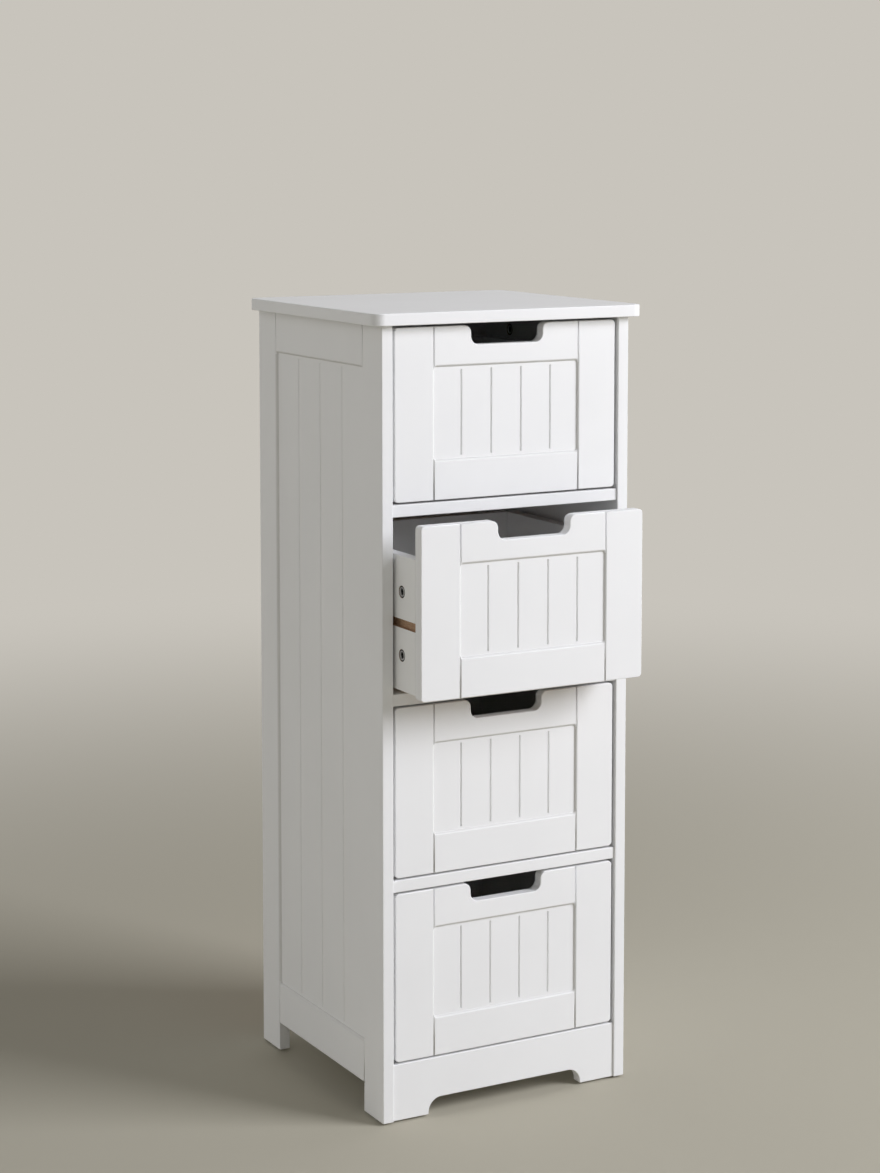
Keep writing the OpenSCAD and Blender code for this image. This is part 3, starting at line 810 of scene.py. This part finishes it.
# The backdrop, and the glow of a pale room, which dims upwards and grows to one side
BACKDROP = (0.578, 0.552, 0.503, 1)
GLOW_LOW = (0.83, 0.825, 0.81)
GLOW_HIGH = (0.12, 0.12, 0.12)
GLOW_TOP = 0.9
GLOW_SIDE = Vector((-0.24, 0.55, 0))


def seen_straight(tree):
    """1 where the eye sees a surface, also in a mirror, and 0 where the surface lights others."""
    path = add(tree, "ShaderNodeLightPath")
    seen = Size(tree, path.outputs["Is Camera Ray"])
    for ray in ("Is Glossy Ray", "Is Transmission Ray"):
        seen = seen.math("MAXIMUM", seen, path.outputs[ray])
    return seen


def add_key():
    """The window-like light, turned towards the cabinet."""
    data = bpy.data.lights.new("key", "AREA")
    data.size = KEY_SIZE
    data.energy = KEY_POWER
    data.color = KEY_COLOUR
    key = bpy.data.objects.new("key", data)
    bpy.context.scene.collection.objects.link(key)
    key.visible_camera = False
    level = cos(KEY_HEIGHT)
    towards = Vector((sin(KEY_AZIMUTH) * level, -cos(KEY_AZIMUTH) * level, sin(KEY_HEIGHT)))
    facing = towards.to_track_quat("Z", "Y").to_matrix().to_4x4()
    key.matrix_world = Matrix.Translation(AIM + towards * KEY_DISTANCE) @ facing


def add_room():
    """A world that lights the cabinet as a pale room does, and looks like the plain backdrop."""
    world = bpy.data.worlds.new("room")
    bpy.context.scene.world = world
    world.use_nodes = True
    tree = world.node_tree
    direction = add(tree, "ShaderNodeTexCoord").outputs["Generated"]
    height = add(tree, "ShaderNodeSeparateXYZ", {"Vector": direction}).outputs["Z"]
    colour = colour_mix(tree, ramp(tree, height, 0.0, GLOW_TOP), GLOW_LOW, GLOW_HIGH)
    lean = add(tree, "ShaderNodeVectorMath", {0: direction, 1: GLOW_SIDE}, operation="DOT_PRODUCT")
    strength = Size(tree, lean.outputs["Value"]) + 1.0
    glow = add(tree, "ShaderNodeBackground", {"Color": colour, "Strength": strength})
    plain = add(tree, "ShaderNodeBackground", {"Color": BACKDROP, "Strength": 1.0})
    seen = add(tree, "ShaderNodeMixShader", {
        0: seen_straight(tree), 1: glow.outputs["Background"], 2: plain.outputs["Background"]})
    tree.links.new(seen.outputs["Shader"], tree.nodes["World Output"].inputs["Surface"])


# The floor, and how far from the cabinet it fades into the backdrop
FLOOR_HALF = 30.0
FLOOR_COLOUR = (0.48, 0.452, 0.37, 1)
FADE_START = 0.5
FADE_END = 2.8


def add_floor():
    """A plain floor that turns into the backdrop far from the object."""
    bm = bmesh.new()
    bmesh.ops.create_grid(bm, x_segments=1, y_segments=1, size=FLOOR_HALF)
    mesh = bpy.data.meshes.new("floor")
    bm.to_mesh(mesh)
    bm.free()
    material, tree, principled, position = new_material("floor", Roughness=0.9, Specular_IOR_Level=0.1)
    principled.inputs["Base Color"].default_value = FLOOR_COLOUR
    away = add(tree, "ShaderNodeVectorMath", {0: position}, operation="LENGTH").outputs["Value"]
    fade = ramp(tree, away, FADE_START, FADE_END, interpolation_type="SMOOTHSTEP")
    far = add(tree, "ShaderNodeEmission", {"Color": BACKDROP, "Strength": 1.0})
    mix = add(tree, "ShaderNodeMixShader", {
        0: seen_straight(tree) * fade, 1: principled.outputs["BSDF"], 2: far.outputs["Emission"]})
    tree.links.new(mix.outputs["Shader"], tree.nodes["Material Output"].inputs["Surface"])
    mesh.materials.append(material)
    floor = bpy.data.objects.new("floor", mesh)
    bpy.context.scene.collection.objects.link(floor)
    floor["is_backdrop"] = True


def add_boards():
    """The carcass, the drawers' boards and the runner strips."""
    paint, foil, raw = satin_paint(), white_foil(), raw_fibreboard()
    strip = moulded_plastic("runner_plastic", first=(0.80, 0.79, 0.75), second=(0.84, 0.83, 0.79))
    board("top_board", paint, raw)
    board("left_side_panel", paint, raw, routed=-1)
    board("right_side_panel", paint, raw, routed=1)
    for node in ("upper_rail", "middle_rail", "lower_rail", "front_apron"):
        board(node, paint, raw)
    board("bottom_board", foil, raw)
    board("back_panel", foil, raw, arris=STRIP_ARRIS, raw_side=Vector((0, 1, 0)))
    for n in range(1, 5):
        board(f"drawer_{n}_front", paint, raw, routed=-1)
        for part in ("left_side", "right_side", "back"):
            board(f"drawer_{n}_{part}", foil, raw)
        board(f"drawer_{n}_bottom", foil, raw, arris=STRIP_ARRIS, raw_side=Vector((0, 0, -1)))
        for side in ("left", "right"):
            board(f"{side}_runner_{n}", strip, strip, arris=STRIP_ARRIS)


def add_fittings():
    """The fittings of every node, by the last words of its name."""
    steel = plated_steel()
    glide = moulded_plastic("glide_plastic", first=(0.40, 0.39, 0.37), second=(0.46, 0.45, 0.43))
    kinds = {
        "cam_locks": (cam_lock(), cast_zinc()),
        "cam_bolts": (cam_bolt(), steel),
        "screws": (wood_screw(), steel),
        "dowels": (fluted_dowel(), beech()),
        "glides": (nail_glide(), glide),
    }
    for node in sorted(nodes):
        for kind, (fitting, finish_material) in kinds.items():
            if node.endswith(kind):
                fit_out(node, fitting, finish_material)


bpy.context.scene.view_settings.view_transform = "Standard"
add_camera()
add_key()
add_room()
add_floor()
add_boards()
add_fittings()

[[list(corner) for corner in box] for box in (cad_box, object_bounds())]
